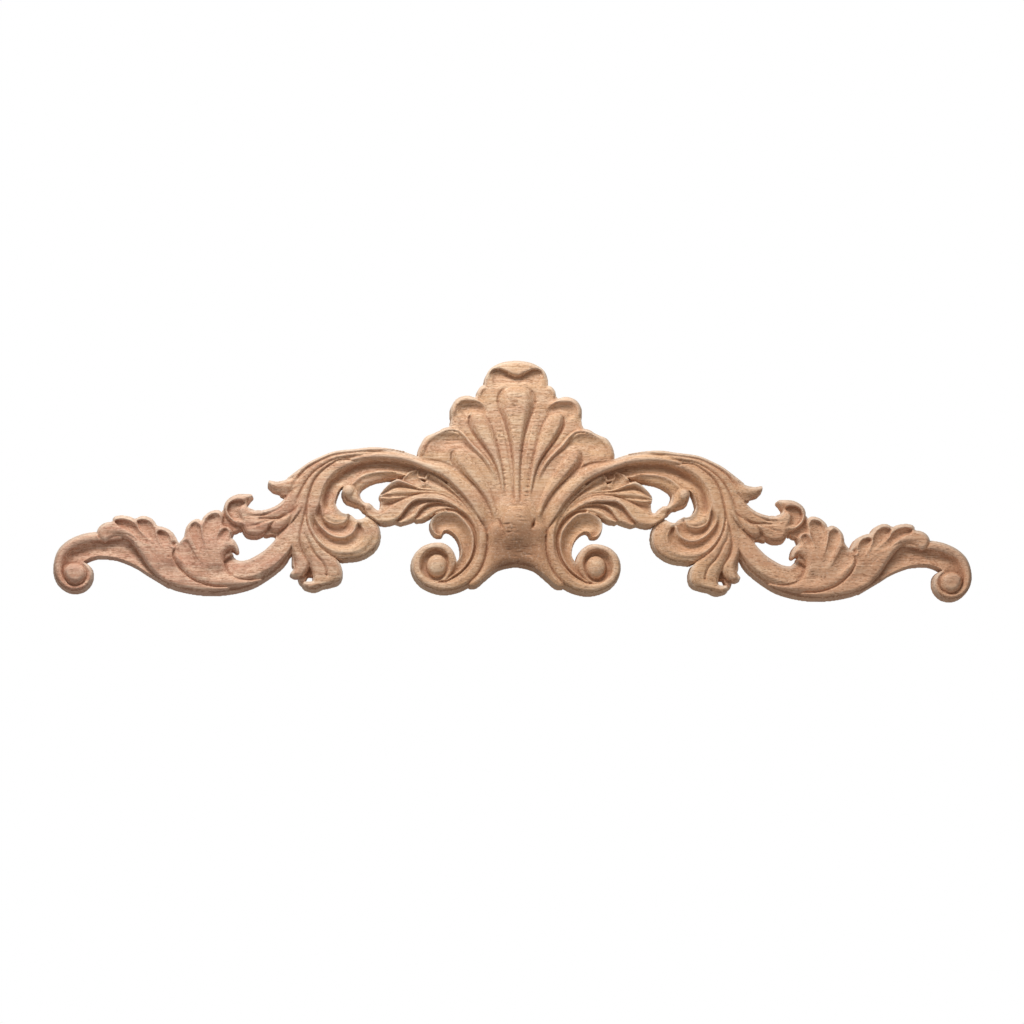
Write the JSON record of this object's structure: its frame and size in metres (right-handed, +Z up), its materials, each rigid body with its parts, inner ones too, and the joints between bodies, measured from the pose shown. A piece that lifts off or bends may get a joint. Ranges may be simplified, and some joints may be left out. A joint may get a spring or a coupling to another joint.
{
  "type": "carved wood applique",
  "caption": "Long symmetric carved wood applique: a shell over a knot, with C-scrolls, arches, acanthus leaves and wave leaves that end in small scrolls, on a flat back.",
  "frame": {"origin": "on the flat back face, on the middle line, under the shell, where the piece is glued to its panel", "axes": "+X along the length, +Z up towards the top of the shell, +Y out of the flat back into the panel, so the carving faces -Y"},
  "size_m": [0.4, 0.015, 0.105],
  "materials": {
    "carved_wood": "raw, unfinished pale timber, sanded, matte, with fine dark pores and grain along the length"
  },
  "bodies": {
    "root": {"carved_applique": "carved_wood"}
  },
  "joints": []
}
